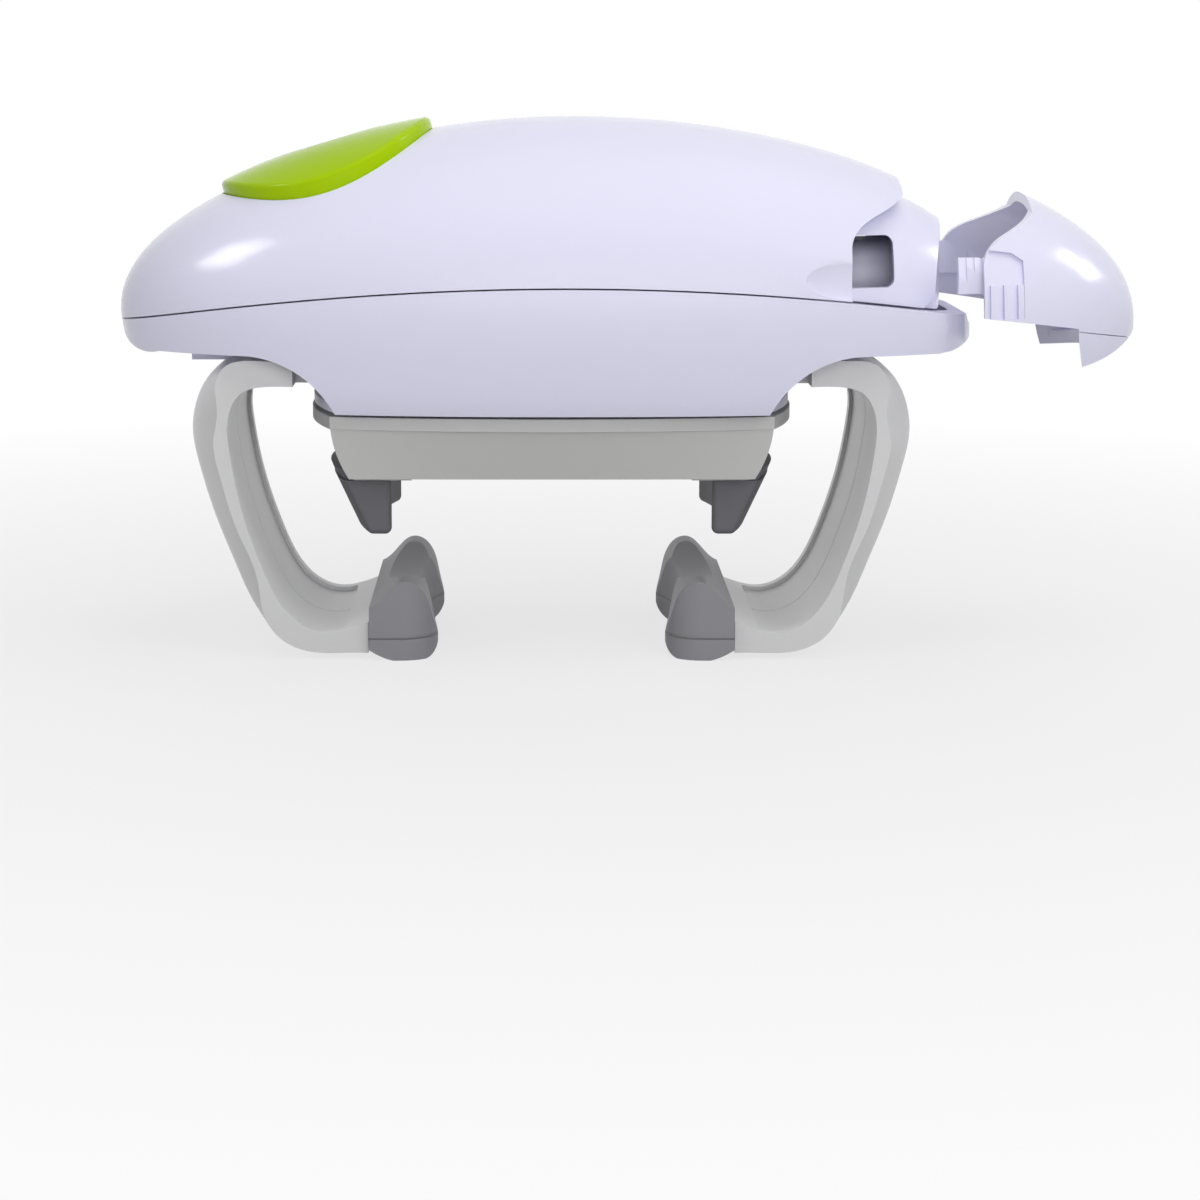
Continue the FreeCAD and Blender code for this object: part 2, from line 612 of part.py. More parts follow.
def battery_contacts():
    """Two plated contact discs with conical springs at the tray's inner end."""
    pieces = []
    x = TRAY_START_X + TRAY_WALL + 0.05
    for y in (-CELL_Y, CELL_Y):
        plate = Part.makeCylinder(5.4, 0.4, Vector(x, y, TRAY_Z), Vector(1, 0, 0))
        cone = Part.makeCone(4.2, 2.6, 2.2, Vector(x + 0.4, y, TRAY_Z), Vector(1, 0, 0))
        core = Part.makeCone(3.6, 2.0, 2.2, Vector(x + 0.4, y, TRAY_Z), Vector(1, 0, 0))
        pieces.append(fuse([plate, cone]).cut(core))
    return Part.makeCompound(pieces)


def slide_out(shape, travel=COVER_TRAVEL):
    """Move a piece of the cover along its slide, from its fitted place outwards."""
    tilt = math.radians(COVER_TILT)
    shape.translate(Vector(math.cos(tilt), 0, -math.sin(tilt)) * travel)
    return shape


def cover_latch():
    """Flexing latch inside one side of the cover, and the block at its root."""
    middle_z = (WINDOW_LOW_Z + WINDOW_HIGH_Z) / 2 + 0.8
    z_pair = (middle_z - LATCH_WIDTH / 2, middle_z + LATCH_WIDTH / 2)
    inner_y = LATCH_HALF_SPAN - LATCH_THICKNESS
    start_x = COVER_EDGE_X + FIT - LATCH_REACH
    blade = box(start_x, COVER_EDGE_X + 8.5, inner_y, LATCH_HALF_SPAN, *z_pair)
    hook = box(start_x, start_x + 2.0, inner_y, LATCH_HALF_SPAN + 1.0, *z_pair)
    root = box(COVER_EDGE_X + 7.0, COVER_EDGE_X + 11.0, inner_y - 0.6, FAR, *z_pair)
    latch = fuse([blade, hook]).common(egg(WALL / 2))
    under_shell = box(start_x - 1, COVER_EDGE_X + FIT, 0, FAR, z_pair[0] - 2, z_pair[1] + 2)
    under_shell = under_shell.cut(egg(WALL + 2 * FIT))
    for pulled in (0.0, LATCH_REACH / 3, 2 * LATCH_REACH / 3, LATCH_REACH):
        latch = latch.cut(slide_out(under_shell.copy(), -pulled))
    return latch, root


def battery_cover():
    """Domed tail cover with ribbed finger grips, two latches and a contact rib."""
    cover = OUTER.common(cover_zone(FIT))
    cover = cover.cut(below_parting(PARTING_GAP / 2).cut(beyond_arc(LIP_X, LIP_RADIUS, 0.0)))
    cover = cover.cut(below_parting(-PARTING_GAP))
    latch, root = cover_latch()
    rib = box(SEAT_END_X + 1.3, TAIL_REACH, -1.2, 1.2, TRAY_Z - 6, TRAY_Z + 6)
    room = INNER.cut(root).cut(mirrored(root)).cut(rib)
    cover = cover.cut(room)
    x0 = COVER_EDGE_X - 1.0
    x1 = COVER_EDGE_X + FIT + GRIP_LENGTH
    grip_low = parting_z(x1) + 1.2
    recess = side_prism([(x0, grip_low), (x1, grip_low), (x1, grip_low + GRIP_HEIGHT),
                         (x1 - 3.0, grip_low + GRIP_HEIGHT + 1.9), (x0, grip_low + GRIP_HEIGHT + 2.9)],
                        HALF_WIDTH + 5)
    for share in GRIP_RIB_SHARES:
        rib_x = COVER_EDGE_X + FIT + share * GRIP_LENGTH
        recess = recess.cut(box(rib_x, rib_x + GRIP_RIB_WIDTH, -FAR, FAR,
                                grip_low - 1, grip_low + GRIP_RIB_HEIGHT))
    cover = cover.cut(recess.cut(egg(GRIP_DEPTH)))
    return slide_out(fuse([cover, latch, mirrored(latch)]))


def cover_lip():
    """Lower lip of the cover that wraps round the tip of the tail."""
    lip = egg(0.0).common(beyond_arc(LIP_X, LIP_RADIUS, 0.0)).common(underside(0.0))
    lip = lip.common(below_parting(-PARTING_GAP - LIP_SEAM))
    return slide_out(lip.cut(egg(WALL).common(underside(WALL))))


def cover_contact():
    """Strip that joins the two cells' outer ends."""
    x = SEAT_END_X + 0.8
    strip = box(x, x + 0.5, -CELL_Y - 4.0, CELL_Y + 4.0, TRAY_Z - 3.6, TRAY_Z + 3.6)
    return slide_out(strip)


# ---------------------------------------------------------------- start button
def start_button():
    """Domed oval cap that follows the shell, with a shallow thumb dish."""
    cap = button_oval(BUTTON_HALF_LENGTH, BUTTON_HALF_WIDTH, -WELL_DEPTH + BUTTON_TRAVEL + 0.4, CUT_HEIGHT)
    cap = cap.common(egg(-BUTTON_PROUD))
    top_edges = [e for e in cap.Edges
                 if e.BoundBox.ZMin > BUTTON_Z - 11.0 and e.Length > BUTTON_HALF_LENGTH]
    cap = cap.makeFillet(BUTTON_EDGE_RADIUS, top_edges)
    hollow = button_oval(BUTTON_HALF_LENGTH - BUTTON_WALL, BUTTON_HALF_WIDTH - BUTTON_WALL,
                         -2 * WELL_DEPTH, CUT_HEIGHT).common(egg(BUTTON_WALL - BUTTON_PROUD))
    cap = cap.cut(hollow)
    stretch = FreeCAD.Matrix()
    stretch.scale(*DISH_SIZE)
    dish = Part.makeSphere(1.0).transformGeometry(stretch)
    axis, centre = button_frame()
    dish.rotate(Vector(0, 0, 0), Vector(0, 1, 0), -BUTTON_SLOPE)
    dish.translate(centre + axis * (SHELL_OVER_DATUM + BUTTON_PROUD + DISH_SIZE[2] - DISH_DEPTH))
    return cap.cut(dish)


def button_stem():
    """Post under the cap that reaches through the well to the switch."""
    stem = stem_cylinder(STEM_RADIUS, -WELL_DEPTH - WALL - 0.9, 6.0)
    flange = stem_cylinder(STEM_RADIUS + 3.0, -WELL_DEPTH + SPRING_LENGTH + 0.2, 6.0)
    return fuse([stem, flange]).common(egg(BUTTON_WALL - BUTTON_PROUD + 0.05))


def button_spring():
    """Compression spring between the well floor and the stem's flange."""
    low, high = -WELL_DEPTH + 0.1, -WELL_DEPTH + SPRING_LENGTH + 0.1
    outer = stem_cylinder(STEM_RADIUS + 1.8, low, high)
    return outer.cut(stem_cylinder(STEM_RADIUS + 0.9, low - 1, high + 1))


def switch_form(half_x, half_y, low, high):
    """Block standing along the button's axis."""
    centre = button_frame()[1]
    block = box(-half_x, half_x, -half_y, half_y, low, high)
    block.rotate(Vector(0, 0, 0), Vector(0, 1, 0), -BUTTON_SLOPE)
    block.translate(centre)
    return block


def start_switch():
    """Snap-action switch hung under the well floor by two ears."""
    top = -WELL_DEPTH - WALL
    body = switch_form(6.4, 3.1, top - 8.2, top - 3.6)
    ears = switch_form(6.4, 1.2, top - 3.8, top - 0.1).cut(switch_form(4.6, 2.0, top - 3.6, top))
    return fuse([body, ears]).cut(switch_form(1.4, 1.4, top - 7.0, top - 3.0))


def switch_plunger():
    """Small red pin of the switch."""
    top = -WELL_DEPTH - WALL
    return switch_form(1.3, 1.3, top - 3.5, top - 1.2)


def switch_terminals():
    top = -WELL_DEPTH - WALL
    axis = button_frame()[0]
    blades = []
    for place in (-5.0, 0.0, 5.0):
        blade = switch_form(0.3, 1.6, top - 10.4, top - 8.25)
        blade.translate(Vector(axis.z, 0, -axis.x) * place)
        blades.append(blade)
    return Part.makeCompound(blades)


# ------------------------------------------------------------------- turntable
def rim_plan(z, reach, corner_x, half_width, corner_y):
    """Outline with two bowed ends and two bowed sides at level z."""
    a, b = (corner_x, -corner_y, z), (corner_x, corner_y, z)
    c, d = (-corner_x, corner_y, z), (-corner_x, -corner_y, z)
    return [arc(a, (reach, 0, z), b), arc(b, (0, half_width, z), c),
            arc(c, (-reach, 0, z), d), arc(d, (0, -half_width, z), a)]


def turntable_frame():
    """Rim plate with two leaning side walls and inturned bottom flanges."""
    rim = plan_prism(rim_plan(CHANNEL_ROOF_Z, RIM_REACH, CORNER_X, RIM_HALF_WIDTH,
                              CORNER_HALF_WIDTH), RIM_THICKNESS)
    levels = [
        (TURNTABLE_BOTTOM_Z, FOOT_CORNER_X, FOOT_HALF_WIDTH, FOOT_HALF_WIDTH - 0.5),
        ((TURNTABLE_BOTTOM_Z + TURNTABLE_TOP_Z) / 2, CORNER_X - 1.0,
         (FOOT_HALF_WIDTH + RIM_HALF_WIDTH) / 2, (FOOT_HALF_WIDTH + CORNER_HALF_WIDTH) / 2 - 0.2),
        (TURNTABLE_TOP_Z - 0.2, CORNER_X, RIM_HALF_WIDTH - 0.1, CORNER_HALF_WIDTH),
    ]
    wires = [Part.Wire(rim_plan(z, x + 1.0, x, y, corner)) for z, x, y, corner in levels]
    block = Part.makeLoft(wires, True, False)
    long = 2 * RIM_REACH
    channel = box(-long, long, -CHANNEL_HALF_WIDTH, CHANNEL_HALF_WIDTH, FLANGE_TOP_Z, CHANNEL_ROOF_Z)
    mouth = box(-long, long, -MOUTH_HALF_WIDTH, MOUTH_HALF_WIDTH, TURNTABLE_BOTTOM_Z - 1, FLANGE_TOP_Z + 1)
    tabs = [box(-TAB_HALF_LENGTH, TAB_HALF_LENGTH, TAB_REACH, MOUTH_HALF_WIDTH + 1,
                TURNTABLE_BOTTOM_Z + 0.3, FLANGE_TOP_Z)]
    tabs.append(mirrored(tabs[0]))
    hub = ring(HUB_RADIUS, SHAFT_RADIUS, TURNTABLE_TOP_Z - 1, BASE_TOP_Z + 0.1)
    frame = fuse([rim, block.cut(channel).cut(mouth), hub] + tabs)
    for sx in (-1, 1):
        for sy in (-1, 1):
            notch = box(*sorted((sx * 39.5, sx * 47.2)), *sorted((sy * 27.0, sy * 31.0)),
                        TURNTABLE_BOTTOM_Z - 1, FLANGE_TOP_Z + 0.1)
            frame = frame.cut(notch)
    return frame.cut(post(SHAFT_RADIUS, CHANNEL_ROOF_Z - 1, FAR))


def turntable_retainer():
    """Washer on the hub that keeps the turntable in the base plate."""
    return ring(RETAINER_RADIUS, SHAFT_RADIUS, BASE_TOP_Z + 0.1, BASE_TOP_Z + 1.8)


def pinion_cover_plate():
    """Plate over pinion and racks, open beside the disc, on two posts."""
    z0, z1 = COVER_PLATE_Z, COVER_PLATE_Z + COVER_PLATE_THICKNESS
    half_x, half_y = COVER_PLATE_HALF_LENGTH, COVER_PLATE_HALF_WIDTH
    plate = box(-half_x, half_x, -half_y, half_y, z0, z1)
    opening = ring(DISC_RADIUS + 4.0, DISC_RADIUS - 3.0, z0 - 1, z1 + 1)
    wedge = Part.makePolygon([Vector(*p) for p in (
        (0, 0, z0 - 1), (-40, 26, z0 - 1), (-40, -26, z0 - 1), (0, 0, z0 - 1))])
    wedge = Part.Face(wedge).extrude(Vector(0, 0, 4))
    posts = [post(2.6, z1 - 0.1, CHANNEL_ROOF_Z, sign * 27.0) for sign in (-1, 1)]
    plate = fuse([plate] + posts)
    plate = plate.cut(opening.common(wedge)).cut(opening.common(turned(wedge)))
    return plate.cut(post(SHAFT_RADIUS + 1.0, z0 - 1, z1 + 1))


def cover_disc():
    """Plain disc on the shaft's end with its slanted slot."""
    disc = post(DISC_RADIUS, DISC_Z, DISC_Z + DISC_THICKNESS)
    slot = box(-14.8, 11.0, -1.45, 1.45, DISC_Z - 1, DISC_Z + 3)
    slot = fuse([slot, box(-9.5, 8.0, -2.0, 2.0, DISC_Z - 1, DISC_Z + 3)])
    slot.rotate(Vector(0, 0, 0), Vector(0, 0, 1), 48)
    slot = slot.cut(post(5.2, DISC_Z - 2, DISC_Z + 4))
    return disc.cut(slot).cut(post(SCREW_RADIUS + 0.4, DISC_Z - 1, DISC_Z + 3))


def centre_screw():
    head_z = DISC_Z - 1.7
    head = post(4.1, head_z, DISC_Z).cut(post(2.9, head_z - 1, head_z + 0.3))
    return fuse([head, post(SCREW_RADIUS + 0.3, DISC_Z - 0.1, DISC_Z + 9.0)])


def drive_shaft():
    """Steel shaft from the disc up to the drive gear."""
    low = DISC_Z + DISC_THICKNESS
    shaft = post(SHAFT_RADIUS, low, MIDDLE_PLATE_Z - 0.2)
    journal = post(SHAFT_RADIUS / 2, MIDDLE_PLATE_Z - 0.3, MIDDLE_PLATE_Z + PLATE_THICKNESS)
    bore = post(SCREW_RADIUS + 0.3, low - 1, DISC_Z + 9.0)
    return fuse([shaft, journal]).cut(bore)


# -------------------------------------------------------------------- lid jaws
def jaw_arcs(z, inner, outer, half_length):
    """Outline of the left jaw at level z: two bowed faces and straight ends.

    inner and outer are distances from the axis at the pad's ends.
    """
    corners = [(-inner, -half_length, z), (-inner, half_length, z),
               (-outer, half_length, z), (-outer, -half_length, z)]
    return [arc(corners[0], (-inner - JAW_SAGITTA, 0, z), corners[1]),
            line(corners[1], corners[2]),
            arc(corners[2], (-outer - JAW_SAGITTA, 0, z), corners[3]),
            line(corners[3], corners[0])]


def jaw_block(z0, inner0, outer0, z1, inner1, outer1, half_length=JAW_HALF_LENGTH):
    wires = [Part.Wire(jaw_arcs(z, i, o, half_length))
             for z, i, o in ((z0, inner0, outer0), (z1, inner1, outer1))]
    return Part.makeLoft(wires, True, True)


def jaw_outer(z):
    """Back of the pad's end at level z: it leans outwards as it rises."""
    share = (z - JAW_BOTTOM_Z) / (JAW_TOP_Z - JAW_BOTTOM_Z)
    return JAW_END_X + JAW_BOTTOM_DEPTH + share * (JAW_TOP_DEPTH - JAW_BOTTOM_DEPTH)


def jaw_pad():
    """Left rubber lid pad with a lip that stands up behind the carrier."""
    body = jaw_block(JAW_BOTTOM_Z, JAW_END_X, jaw_outer(JAW_BOTTOM_Z),
                     JAW_TOP_Z, JAW_END_X, jaw_outer(JAW_TOP_Z))
    bottom = [e for e in body.Edges if e.BoundBox.ZMax < JAW_BOTTOM_Z + 0.01]
    ends = [e for e in body.Edges if e.BoundBox.YLength < 0.1 and e.BoundBox.ZLength > 5]
    body = body.makeFillet(1.6, bottom + ends)
    lip = jaw_block(JAW_TOP_Z - 2, jaw_outer(JAW_TOP_Z - 2) - 2.0, jaw_outer(JAW_TOP_Z - 2),
                    JAW_LIP_Z, jaw_outer(JAW_LIP_Z) - 2.0, jaw_outer(JAW_LIP_Z) - 0.3,
                    JAW_HALF_LENGTH - 1.6)
    pad = fuse([body, lip])
    return pad.cut(jaw_blade(0.1))


def jaw_blade(extra):
    """Stiffening blade that stands in the pad."""
    z0 = JAW_BOTTOM_Z + 5.0 - extra
    return jaw_block(z0, JAW_END_X + 2.6 - extra, JAW_END_X + 5.0 + extra,
                     JAW_TOP_Z + 0.1, JAW_END_X + 2.6 - extra, JAW_END_X + 6.4 + extra,
                     JAW_HALF_LENGTH - 4.0 + extra)


def jaw_carrier():
    """Left carrier: foot plate with wings, captive runners and the pad's blade."""
    foot_outer = jaw_outer(JAW_TOP_Z) - 2.6
    foot = jaw_block(JAW_TOP_Z, JAW_END_X - 4.4, foot_outer, JAW_FOOT_Z, JAW_END_X - 4.4, foot_outer,
                     JAW_HALF_LENGTH - 0.4)
    hollow = Part.makeCylinder(12.0, 6.0, Vector(-JAW_END_X + 7.0, 0, JAW_TOP_Z - 1))
    foot = foot.cut(hollow)
    runner_x1 = -JAW_END_X + 4.4
    runner_x0 = runner_x1 - JAW_RUNNER_LENGTH
    pieces = [foot, jaw_blade(0.0)]
    for sign in (-1, 1):
        y_pair = sorted((sign * JAW_RUNNER_INNER_Y, sign * (MOUTH_HALF_WIDTH - 0.5)))
        runner = box(runner_x0, runner_x1, *y_pair, JAW_TOP_Z + 0.4, CHANNEL_ROOF_Z - 0.4)
        ear_pair = sorted((sign * JAW_RUNNER_INNER_Y, sign * (CHANNEL_HALF_WIDTH - 0.4)))
        ear = box(runner_x0, runner_x1, *ear_pair, FLANGE_TOP_Z + 0.3, FLANGE_TOP_Z + 3.0)
        slot = fuse([
            box(runner_x0 + 4.0, runner_x1 - 4.0, *sorted((sign * 22.6, sign * 25.8)),
                FLANGE_TOP_Z + 4.5, FAR),
            post(1.6, FLANGE_TOP_Z + 4.5, FAR, runner_x0 + 4.0, sign * 24.2),
            post(1.6, FLANGE_TOP_Z + 4.5, FAR, runner_x1 - 4.0, sign * 24.2),
        ])
        pieces.append(fuse([runner, ear]).cut(slot))
    return fuse(pieces)


def jaw_rack(tooth_at_axis):
    """Left carrier's rack, which runs past the pinion to the far side.

    The pinion has an odd number of teeth, so one rack has a tooth at the axis
    and the other a gap.
    """
    left = -JAW_END_X + 4.4 - JAW_RUNNER_LENGTH
    back = JAW_PITCH_RADIUS + 1.15 * JAW_MODULE
    bar = rack(left, JAW_RACK_END, JAW_PITCH_RADIUS, JAW_RUNNER_INNER_Y - back - 0.8, JAW_MODULE,
               JAW_PRESSURE_ANGLE, tooth_at_axis, 0.3, JAW_GEAR_Z, JAW_GEAR_THICKNESS)
    web = box(left + 1.0, left + JAW_RUNNER_LENGTH - 1.0, back, JAW_RUNNER_INNER_Y,
              JAW_GEAR_Z, JAW_GEAR_THICKNESS + JAW_GEAR_Z)
    window = box(JAW_RACK_END - 6.0, JAW_RACK_END - 2.6, back - 1.0, JAW_RUNNER_INNER_Y - 2.0,
                 JAW_GEAR_Z - 1, FAR)
    window.rotate(Vector(JAW_RACK_END - 4, back, 0), Vector(0, 0, 1), 10)
    return mirrored(fuse([bar, web]).cut(window))


def jaw_pinion():
    return gear(JAW_TEETH, JAW_MODULE, JAW_PRESSURE_ANGLE, -90.0, 0.3, 0.0, JAW_GEAR_Z,
                JAW_GEAR_THICKNESS, SHAFT_RADIUS + RUNNING_GAP)


# ------------------------------------------------------------------------ arms
def arm_back():
    """Points down the back of the left arm on its middle plane, top to foot."""
    return [
        (-ARM_FLANGE_X, ARM_TOP_Z),
        (-ARM_REACH + 18.0, ARM_TOP_Z - 0.2),
        (-ARM_REACH + 10.5, ARM_TOP_Z - 1.8),
        (-ARM_REACH + 4.6, ARM_TOP_Z - 6.2),
        (-ARM_REACH + 1.0, ARM_TOP_Z - 12.8),
        (-ARM_REACH, ARM_TOP_Z - 19.5),
        (-ARM_REACH + 1.5, ARM_BOTTOM_Z + 43.0),
        (-ARM_REACH + 5.25, ARM_BOTTOM_Z + 30.5),
        (-ARM_REACH + 10.2, ARM_BOTTOM_Z + 18.0),
        (-ARM_REACH + 15.6, ARM_BOTTOM_Z + 8.6),
        (-ARM_REACH + 23.4, ARM_BOTTOM_Z + 3.2),
        (-ARM_REACH + 30.2, ARM_BOTTOM_Z + 0.5),
        (-ARM_REACH + 37.0, ARM_BOTTOM_Z),
        (-ARM_FOOT_X, ARM_BOTTOM_Z),
    ]


def arm_front(depth):
    """Points down the arm's inner face, sunk into the arm by depth."""
    throat = -ARM_REACH + ARM_THICKNESS
    return [
        (-ARM_FLANGE_X, ARM_TOP_Z - ARM_TOP_THICKNESS + depth),
        (throat + 9.0, ARM_TOP_Z - ARM_TOP_THICKNESS + depth),
        (throat + 3.2 - 0.5 * depth, ARM_TOP_Z - ARM_TOP_THICKNESS - 1.8 + 0.8 * depth),
        (throat + 0.4 - depth, ARM_TOP_Z - 13.6),
        (throat + 0.6 - depth, ARM_BOTTOM_Z + 48.5),
        (throat + 2.2 - depth, ARM_BOTTOM_Z + 39.5),
        (throat + 4.6 - depth, ARM_BOTTOM_Z + 30.5),
        (throat + 8.2 - depth, ARM_BOTTOM_Z + 20.5),
        (throat + 13.0 - 0.8 * depth, ARM_BOTTOM_Z + 11.2 - 0.5 * depth),
        (throat + 17.2 - 0.5 * depth, ARM_BOTTOM_Z + 7.1 - 0.9 * depth),
        (throat + 23.0, ARM_BOTTOM_Z + ARM_FOOT_THICKNESS - depth),
        (-ARM_FOOT_X - 5.0, ARM_BOTTOM_Z + ARM_FOOT_THICKNESS + 0.8 - depth),
        (-ARM_FOOT_X, ARM_BOTTOM_Z + ARM_FOOT_THICKNESS + 2.6 - depth),
    ]


def barrel(z):
    """Share of the barrel curve by height: none at the top and at the foot."""
    rise = max(0.0, min(1.0, (z - ARM_BOTTOM_Z) / 16.0))
    fall = max(0.0, min(1.0, (ARM_TOP_Z - z) / 12.0))
    share = min(rise, fall)
    return share * share * (3 - 2 * share)


def arm_section(y, front):
    """Closed outline of the arm at depth y: barrel-curved back, level front."""
    shift = (y / ARM_HALF_WIDTH) ** 2 * ARM_BULGE
    back = [Vector(x + shift * barrel(z), y, z) for x, z in arm_back()]
    front = [Vector(x, y, z) for x, z in front][::-1]
    curves = []
    for row in (back, front):
        curve = Part.BSplineCurve()
        curve.interpolate(row)
        curves.append(curve.toShape())
    return Part.Wire([curves[0], line(tuple(back[-1]), tuple(front[0])), curves[1],
                      line(tuple(front[-1]), tuple(back[0]))])


def face_cutter(depth, half_width):
    """Cutter that sinks a strip of the arm's inner face by depth."""
    floor = [Vector(x, -half_width, z) for x, z in arm_front(depth)]
    curve = Part.BSplineCurve()
    curve.interpolate(floor)
    inside = (-ARM_FOOT_X, -half_width, ARM_TOP_Z - ARM_TOP_THICKNESS)
    edges = [curve.toShape(), line(tuple(floor[-1]), inside), line(inside, tuple(floor[0]))]
    strip = Part.Face(Part.Wire(edges)).extrude(Vector(0, 2 * half_width, 0))
    return strip.common(box(-FAR, -ARM_FOOT_X - 6.0, -FAR, FAR, -FAR, ARM_TOP_Z - 9.0))


def arm_frame():
    """Left arm: a hook with a barrel-curved back and a sunk panel in its face."""
    depths = [ARM_HALF_WIDTH * share for share in (-1.0, -0.5, 0.0, 0.5, 1.0)]
    arm = Part.makeLoft([arm_section(y, arm_front(0.0)) for y in depths], True, False)
    arm = arm.cut(face_cutter(ARM_PANEL_DEPTH, ARM_HALF_WIDTH - ARM_RIM))
    arm = arm.cut(face_cutter(ARM_PANEL_DEPTH + ARM_LINE_DEPTH, ARM_LINE_WIDTH / 2))
    arm = arm.cut(box(-FAR, -ARM_FLANGE_X + 1, -ARM_SLOT_HALF_WIDTH, ARM_SLOT_HALF_WIDTH,
                      ARM_TOP_Z - ARM_SLOT_DEPTH, FAR))
    tongue = box(-ARM_FOOT_X - 1.0, -ARM_FOOT_X + ARM_TONGUE_LENGTH, -ARM_TONGUE_HALF_WIDTH,
                 ARM_TONGUE_HALF_WIDTH, ARM_TONGUE_Z, ARM_TONGUE_Z + ARM_TONGUE_THICKNESS)
    return fuse([arm, tongue])


def arm_rack():
    """Left arm's rack with its mounting head against the arm's flange."""
    back = ARM_PITCH_RADIUS + 1.15 * ARM_MODULE
    bar = rack(-ARM_FLANGE_X, ARM_RACK_END, ARM_PITCH_RADIUS, ARM_RACK_DEPTH, ARM_MODULE,
               ARM_PRESSURE_ANGLE, False, ARM_BACKLASH, ARM_RACK_Z, ARM_RACK_HEIGHT)
    head = box(-ARM_FLANGE_X, -ARM_FLANGE_X + 4.0, -24.0, back + ARM_RACK_DEPTH,
               ARM_RACK_Z, ARM_RACK_Z + ARM_RACK_HEIGHT - ARM_SLOT_DEPTH + 0.2)
    return mirrored(fuse([bar, head]))


def arm_pinion():
    """Pinion between the two arm racks, free on the drive shaft."""
    return gear(ARM_TEETH, ARM_MODULE, ARM_PRESSURE_ANGLE, 90.0, ARM_BACKLASH, 0.0, ARM_RACK_Z - 0.2,
                ARM_RACK_HEIGHT, SHAFT_RADIUS + RUNNING_GAP)


def arm_pad():
    """Left rubber jar pad: two horns with a saddle between them."""
    profile = [
        (-ARM_FOOT_X + 0.2, 2.6), (-ARM_FOOT_X + 4.0, 0.6), (-ARM_FOOT_X + 7.5, -0.3),
        (-PAD_TOE_X - 4.0, -0.3), (-PAD_TOE_X - 1.4, 0.7), (-PAD_TOE_X, 3.4), (-PAD_TOE_X - 1.0, 9.0),
        (-PAD_TOE_X - 3.2, PAD_HORN_Z - 3.0), (-PAD_HORN_X + 2.4, PAD_HORN_Z - 0.6),
        (-PAD_HORN_X - 0.4, PAD_HORN_Z), (-ARM_FOOT_X + 2.6, PAD_BACK_Z + 1.6),
        (-ARM_FOOT_X + 0.2, PAD_BACK_Z),
    ]
    rows = [Vector(x, -PAD_HALF_LENGTH, z) for x, z in profile]
    curve = Part.BSplineCurve()
    curve.interpolate(rows)
    back = line(tuple(rows[-1]), tuple(rows[0]))
    face = Part.Face(Part.Wire([curve.toShape(), back]))
    pad = face.extrude(Vector(0, 2 * PAD_HALF_LENGTH, 0))
    pad = pad.common(box(-FAR, 0, -FAR, FAR, 0, FAR))
    half = PAD_HORN_SPACING / 2
    waist_r = (half ** 2 + PAD_WAIST ** 2) / (2 * PAD_WAIST)
    waist = Part.makeCylinder(waist_r, 2 * FAR, Vector(-PAD_TOE_X - PAD_WAIST + waist_r, 0, -FAR))
    saddle_r = (half ** 2 + PAD_SADDLE ** 2) / (2 * PAD_SADDLE)
    saddle = Part.makeCylinder(saddle_r, 2 * FAR,
                               Vector(-FAR, 0, PAD_HORN_Z - PAD_SADDLE + saddle_r), Vector(1, 0, 0))
    pad = pad.cut(waist).cut(saddle)
    corner = 9.0
    for sign in (-1, 1):
        block = box(-PAD_TOE_X - corner, 0, *sorted((sign * (PAD_HALF_LENGTH - corner), sign * FAR)),
                    -FAR, FAR)
        round_post = post(corner, -FAR, FAR, -PAD_TOE_X - corner, sign * (PAD_HALF_LENGTH - corner))
        pad = pad.cut(block.cut(round_post))
    gap = PAD_TONGUE_FIT
    pocket = box(-ARM_FOOT_X - 1, -ARM_FOOT_X + ARM_TONGUE_LENGTH + gap, -ARM_TONGUE_HALF_WIDTH - gap,
                 ARM_TONGUE_HALF_WIDTH + gap, ARM_TONGUE_Z - gap,
                 ARM_TONGUE_Z + ARM_TONGUE_THICKNESS + gap)
    return pad.cut(pocket)


# ------------------------------------------------------------------ gear train
def drive_gear():
    """Large gear on the shaft that turns the turntable."""
    return gear(DRIVE_TEETH, DRIVE_MODULE, TRAIN_PRESSURE_ANGLE, 180.0, 0.16, 0.0, DRIVE_Z,
                DRIVE_THICKNESS, SHAFT_RADIUS)


def lay_gear():
    """Compound gear between drive gear and second gear."""
    bore = AXLE_RADIUS + RUNNING_GAP
    half_pitch = 180.0 / LAY_PINION_TEETH
    pinion = gear(LAY_PINION_TEETH, DRIVE_MODULE, TRAIN_PRESSURE_ANGLE, half_pitch, 0.16, LAY_X,
                  DRIVE_Z, DRIVE_THICKNESS, bore)
    neck = ring(DRIVE_MODULE * LAY_PINION_TEETH / 2 - 1.6, bore, DRIVE_Z + DRIVE_THICKNESS - 0.1,
                SECOND_Z + 0.1, LAY_X)
    wheel = gear(SECOND_TEETH, SECOND_MODULE, TRAIN_PRESSURE_ANGLE, 0.0, 0.14, LAY_X, SECOND_Z,
                 SECOND_THICKNESS, bore)
    return fuse([pinion, neck, wheel])


